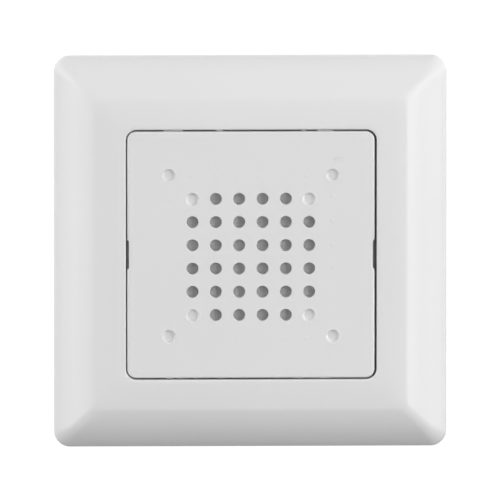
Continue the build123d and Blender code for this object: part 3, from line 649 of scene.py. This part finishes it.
def clothWeave(tree, shader, tint):
    # Plain weave: warp and weft ribs, one on top in every other cell, with painted shade darkening the low
    # places between threads
    pitch = patterns["threadPitch"]
    checker = tree.nodes.new("ShaderNodeTexChecker")
    checker.inputs["Scale"].default_value = 1 / pitch
    tree.links.new(objectCoords(tree, (1, 0, 1)), checker.inputs["Vector"])
    warp, weft = addWave(tree, pitch, "X"), addWave(tree, pitch, "Z")
    top = addMath(tree, "MULTIPLY", warp, checker.outputs["Fac"])
    under = addMath(tree, "MULTIPLY", weft, addMath(tree, "SUBTRACT", 1.0, checker.outputs["Fac"]))
    height = addMath(tree, "ADD", top, under)
    addBump(tree, shader, height, *patterns["threadBump"])
    # Painted shade: the weave's height mixes the tint towards the dark gap colour
    return addMix(tree, addRange(tree, height, *patterns["threadShade"]), patterns["threadGapShade"], tint)


def zincSpangle(tree, shader, tint):
    _, color = addCells(tree, patterns["spangle"])
    parts = tree.nodes.new("ShaderNodeSeparateColor")
    tree.links.new(color, parts.inputs[0])
    brushed = addNoise(tree, patterns["brushScale"], patterns["broadDetail"], patterns["brushStretch"])
    addBump(tree, shader, brushed, *patterns["brushBump"])
    share = addRange(tree, parts.outputs[0], 0, patterns["spangleMost"], 0, 1)
    return addMix(tree, share, tint, patterns["spangleTone"])


def boardTraces(tree, shader, tint):
    # Square traces under the mask, and bare laminate where the edge is cut
    distance, _ = addCells(tree, patterns["traceScale"], "CHEBYCHEV")
    bands = addMath(tree, "PINGPONG", addMath(tree, "MULTIPLY", distance, patterns["traceBands"]), 0.5)
    trace = addRange(tree, bands, 0, 1, *patterns["traceEdge"])
    addBump(tree, shader, trace, *patterns["traceBump"])
    masked = addMix(tree, trace, tint, patterns["traceGreen"])
    turned = addMath(tree, "ABSOLUTE", faceTurn(tree, 1), 0.0)
    flat = addMath(tree, "GREATER_THAN", turned, patterns["boardFlat"])
    return addMix(tree, flat, patterns["laminate"], masked)


def sleeveAndTop(tree, shader, tint):
    # Printed stripe down one side, bare aluminium on the flat top
    top = addMath(tree, "LESS_THAN", faceTurn(tree, 1), patterns["canTop"])
    stripe = addMath(tree, "GREATER_THAN", faceTurn(tree, 0), patterns["stripeFrom"])
    tree.links.new(top, shader.inputs["Metallic"])
    return addMix(tree, top, addMix(tree, stripe, tint, patterns["sleeveStripe"]), patterns["aluminium"])


def coilTurns(tree, shader, tint):
    # Copper turns, with painted shade darkening the grooves between them
    turns = addWave(tree, patterns["coilPitch"], "Y")
    addBump(tree, shader, turns, *patterns["coilBump"])
    return addMix(tree, addRange(tree, turns, *patterns["coilShade"]), patterns["coilGapShade"], tint)


def coneRings(tree, shader, tint):
    addBump(tree, shader, addWave(tree, patterns["coneRings"], "Y", rings=True), *patterns["coneBump"])
    return tint


def glazedTop(tree, shader, tint):
    top = addMath(tree, "LESS_THAN", faceTurn(tree, 1), patterns["resistorTop"])
    return addMix(tree, top, tint, patterns["resistorGlaze"])


def scuffedPlate(tree, shader, tint):
    # One small rubbed place near the plate's upper right corner
    x, y, z = patterns["scuffAt"]
    sx, sy, sz = patterns["scuffSize"]
    ball = tree.nodes.new("ShaderNodeTexGradient")
    ball.gradient_type = "SPHERICAL"
    place = objectCoords(tree, (1 / sx, 1 / sy, 1 / sz), (-x / sx, -y / sy, -z / sz))
    tree.links.new(place, ball.inputs["Vector"])
    grain = addNoise(tree, patterns["scuffGrain"], patterns["fineDetail"])
    broken = addRange(tree, grain, 0, patterns["scuffMost"], *patterns["scuffEdge"])
    rubbed = addMath(tree, "MULTIPLY", ball.outputs["Fac"], broken)
    return addMix(tree, rubbed, tint, patterns["scuffTone"])


details = {
    "grille_cloth": clothWeave, "zinc_steel": zincSpangle, "board_laminate": boardTraces,
    "capacitor_sleeve": sleeveAndTop, "copper": coilTurns, "cone_film": coneRings,
}


def buildFinish(slotName, detail=None, name=None):
    color, dark, rough, metallic, scale, height = finishes[slotName]
    material, tree, shader = newMaterial(name or slotName + "Finish", color, rough[0], metallic)
    broad = addNoise(tree, scale * patterns["broadShare"], patterns["broadDetail"])
    fine = addNoise(tree, scale, patterns["fineDetail"])
    tree.links.new(addRange(tree, fine, *rough), shader.inputs["Roughness"])
    addBump(tree, shader, fine, patterns["fineBump"], height)
    tint = addMix(tree, addRange(tree, broad, 0, 1), color, dark)
    detail = detail or details.get(slotName)
    if detail:
        tint = detail(tree, shader, tint)
    tree.links.new(tint, shader.inputs["Base Color"])
    return material


def paintCadNodes():
    made = {name: buildFinish(name) for name in finishes}
    made["resistors"] = buildFinish("ceramic_chip", glazedTop, "resistorFinish")
    made["centre_plate"] = buildFinish("cover_plastic", scuffedPlate, "plateFinish")
    slots = {part["node"]: part["material_slot"] for part in frame["record"]["subparts"]}
    for name, obj in frame["nodes"].items():
        for place in obj.material_slots:
            place.material = made.get(name) or made[slots[name]]
    return made


# The loudspeaker's surround, in wedges that each span the roll between the basket's rim and the cone

surround = {
    "wedges": 12, "steps": 6, "rollSteps": 12, "out": 6.4924, "thick": 0.3, "sag": 0.45,
    "edgeR": 14.6, "rollOutR": 13.3, "rollInR": 11.28, "sharp": 40,
}


def buildSurround():
    s = surround
    wedge = 2 * pi / s["wedges"]
    # The roll runs from the rim's side in to its inner edge at the cone
    back = [(s["edgeR"], s["out"])]
    for i in range(s["rollSteps"] + 1):
        share = i / s["rollSteps"]
        radius = s["rollOutR"] + (s["rollInR"] - s["rollOutR"]) * share
        back.append((radius, s["out"] - s["sag"] * sin(pi * share)))
    section = back + [(radius, out + s["thick"]) for radius, out in reversed(back)]
    made = []
    for number in range(s["wedges"]):
        bm = bmesh.new()
        verts = [bm.verts.new((radius, -out, 0)) for radius, out in section]
        edges = [bm.edges.new(pair) for pair in zip(verts, verts[1:] + verts[:1])]
        turn = Matrix.Rotation(number * wedge, 3, "Y")
        bmesh.ops.rotate(bm, cent=(0, 0, 0), matrix=turn, verts=verts)
        bmesh.ops.spin(
            bm, geom=verts + edges, cent=(0, 0, 0), axis=(0, 1, 0), angle=wedge, steps=s["steps"]
        )
        bmesh.ops.holes_fill(bm, edges=bm.edges, sides=0)
        middle = sum((v.co for v in bm.verts), Vector())
        middle.y = 0
        middle.normalize()
        obj = finishMesh(bm, "surroundWedge%d" % (number + 1), sharpAngle=s["sharp"], scale=mm)
        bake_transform(obj)
        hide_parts("cone_surround")
        made.append(obj)
    return made


# What the board has beside its CAD parts: legs, tinned ends, solder and printed outlines

board = {
    "front": -12.0113, "back": -13.6113,
    # x, z, half length, half width, top of body, legs a side, pitch
    "chips": ((0.461, -3.42, 4.35, 1.95, -10.51, 7, 1.27), (5.471, 2.28, 2.45, 1.95, -10.51, 4, 1.27)),
    "bridge": (-12.76, -4.56, 4.15, 3.2, -8.81, 2, 5.1),
    "regulator": (12.76, -2.96, 3.3, 3.05, -9.71, 2, 4.56),
    "legReach": 1.05, "legWidth": 0.42, "legT": 0.2, "legDown": 0.75,
    "legBends": (0.32, 0.5, 0.62, 0.78), "legSoft": 0.12, "legSunk": 0.1,  # bends as shares of the reach
    "tab": (5.3, 1.0, 0.5), "tabSunk": 0.2, "tabR": 0.5, "tabSteps": 4,
    # Resistors, ceramic capacitors and diodes: x low, x high, z low, z high, height
    "chipParts": (
        (-13.54, -11.54, 5.76, 7.01, 0.5), (-13.54, -11.54, 8.49, 9.74, 0.5),
        (-3.28, -1.28, -8.37, -7.12, 0.5), (1.74, 3.74, -8.37, -7.12, 0.5),
        (13.13, 15.13, -8.83, -7.58, 0.5), (14.04, 16.04, -11.11, -9.86, 0.5),
        (-7.38, -5.38, -8.83, -7.58, 0.9), (5.84, 7.84, -8.83, -7.58, 0.9),
        (17.24, 19.24, 6.21, 7.46, 0.9), (-16.96, -14.96, 2.11, 3.36, 0.9),
        (-10.01, -6.41, 14.14, 15.94, 1.1), (13.24, 16.84, 10.5, 12.3, 1.1),
    ),
    "endWidth": 0.42, "endProud": 0.015, "endR": 0.05, "endSteps": 2, "sharp": 35,
    # Through joints on the board's back
    "joints": (
        (-7.67, 5.47), (-4.17, 5.47), (4.45, 10.03), (6.95, 10.03), (11.54, 5.01), (13.54, 5.01),
        (-1.25, 17.5), (1.25, 17.5), (-8.79, -19.2), (-8.79, -15.9), (-5.2, -19.2),
        (8.79, -19.2), (8.79, -15.9), (5.2, -19.2),
    ),
    "jointProfile": ((0.0, 0.72), (0.12, 0.52), (0.3, 0.36), (0.55, 0.26), (0.8, 0.24), (0.9, 0.0)),
    "jointSteps": 18, "jointMerge": 1e-5, "jointSharp": 50,
    "printWidth": 0.16, "printT": 0.02, "printGap": 0.35, "printSide": 0.25,
    "circleGap": 0.4, "circleSteps": 48,
    "circles": ((-5.92, 5.47, 4.0), (5.7, 10.03, 3.15), (12.54, 5.01, 2.5)),
}


def addLeg(bm, x, z, side, top):
    # A gull-wing leg drawn along its bends: out of the body, down, and along the pad
    b = board
    start, soft, reach = top - b["legDown"], b["legSoft"], b["legReach"]
    foot = b["front"] + b["legT"] - start
    out, bend, low, pad = (share * reach for share in b["legBends"])
    steps = [(0, 0), (out, 0), (bend, -soft), (low, foot + soft), (pad, foot), (reach, foot)]
    made = bmesh.ops.create_grid(bm, x_segments=1, y_segments=1, size=0.5)["verts"]
    bmesh.ops.scale(bm, vec=(b["legWidth"], b["legT"], 1), verts=made)
    # The grid faces Z; its Y becomes the leg's thickness
    bmesh.ops.translate(bm, vec=(x, -(start - b["legT"] / 2), z - side * b["legSunk"]), verts=made)
    face = made[0].link_faces[0]
    for (a0, d0), (a1, d1) in zip(steps, steps[1:]):
        moved = bmesh.ops.extrude_face_region(bm, geom=[face], use_keep_orig=True)["geom"]
        verts = [g for g in moved if isinstance(g, bmesh.types.BMVert)]
        bmesh.ops.translate(bm, vec=(0, -(d1 - d0), side * (a1 - a0)), verts=verts)
        if a0 > 0:  # the first face stays, and closes the leg inside the body
            bmesh.ops.delete(bm, geom=[face], context="FACES_ONLY")
        face = next(g for g in moved if isinstance(g, bmesh.types.BMFace))


def buildLegs():
    b = board
    bm = bmesh.new()
    for x, z, _, halfWidth, top, count, pitch in (*b["chips"], b["bridge"]):
        for i in range(count):
            for side in (-1, 1):
                addLeg(bm, x + (i - (count - 1) / 2) * pitch, z + side * halfWidth, side, top)
    x, z, _, halfWidth, top, _, pitch = b["regulator"]
    for side in (-1, 1):
        addLeg(bm, x + side * pitch / 2, z - halfWidth, -1, top)
    width, reach, thick = b["tab"]
    tabAt = z + halfWidth + (reach - b["tabSunk"]) / 2
    tab = addBox(bm, x, tabAt, width, reach + b["tabSunk"], b["front"], b["front"] + thick)
    upright = [e for e in edgesOf(tab) if abs(e.verts[0].co.y - e.verts[1].co.y) > thick / 2]
    corners = [e for e in upright if e.verts[0].co.z > z + halfWidth]
    roundEdges(bm, corners, b["tabR"], b["tabSteps"])
    # The tinned ends stand a little proud of the small parts
    width, proud, low = b["endWidth"], b["endProud"], b["front"]
    for x0, x1, z0, z1, high in b["chipParts"]:
        for x in (x0 + (width - proud) / 2, x1 - (width - proud) / 2):
            end = addBox(bm, x, (z0 + z1) / 2, width + proud, z1 - z0 + 2 * proud, low, low + high + proud)
            roundEdges(bm, edgesOf(end), b["endR"], b["endSteps"])
    obj = finishMesh(bm, "boardLegs", sharpAngle=b["sharp"], scale=mm)
    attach(obj, "root")
    return obj


def buildSolder():
    b = board
    bm = bmesh.new()
    # Each joint is a cone of solder round the wire's end, spun from its profile
    for x, z in b["joints"]:
        verts = [bm.verts.new((x + r, -(b["back"] - down), z)) for down, r in b["jointProfile"]]
        edges = [bm.edges.new(pair) for pair in zip(verts, verts[1:])]
        bmesh.ops.spin(
            bm, geom=verts + edges, cent=(x, 0, z), axis=(0, 1, 0), angle=2 * pi,
            steps=b["jointSteps"], use_merge=True,
        )
    bmesh.ops.remove_doubles(bm, verts=bm.verts, dist=b["jointMerge"])
    bmesh.ops.holes_fill(bm, edges=bm.edges, sides=0)
    obj = finishMesh(bm, "boardSolder", sharpAngle=b["jointSharp"], scale=mm)
    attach(obj, "root")
    return obj


def buildPrint():
    b = board
    bm = bmesh.new()
    width, low = b["printWidth"], b["front"]
    high = low + b["printT"]
    for x, z, halfLength, halfWidth, *_ in (*b["chips"], b["bridge"], b["regulator"]):
        for side in (-1, 1):
            # Printed only along the two ends, clear of the legs
            line = x + side * (halfLength + b["printGap"])
            addBox(bm, line, z, width, 2 * (halfWidth + b["printSide"]), low, high)
    for x, z, radius in b["circles"]:
        outer = radius + b["circleGap"]
        section = ((outer, low), (outer, high), (outer - width, high), (outer - width, low))
        rings = [circleRing(bm, r, x, z, out, b["circleSteps"]) for r, out in section]
        bridgeAll(bm, rings, close=True)
    obj = finishMesh(bm, "boardPrint", scale=mm)
    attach(obj, "root")
    return obj


addRoom()
addCamera()
addLamps()
print("chime: room ready")
pieces = [
    ("cover_plastic", buildCover()), ("centre_plate", buildPlate()), ("grille_cloth", buildCloth()),
    ("tinned_brass", buildLegs()), ("solder", buildSolder()), ("screen_ink", buildPrint()),
] + [("cone_film", wedge) for wedge in buildSurround()]
print("chime: pieces made")
made = paintCadNodes()
for finish, piece in pieces:
    piece.data.materials.append(made[finish])
print("chime: finishes set")
bpy.context.scene.view_settings.view_transform = "Standard"
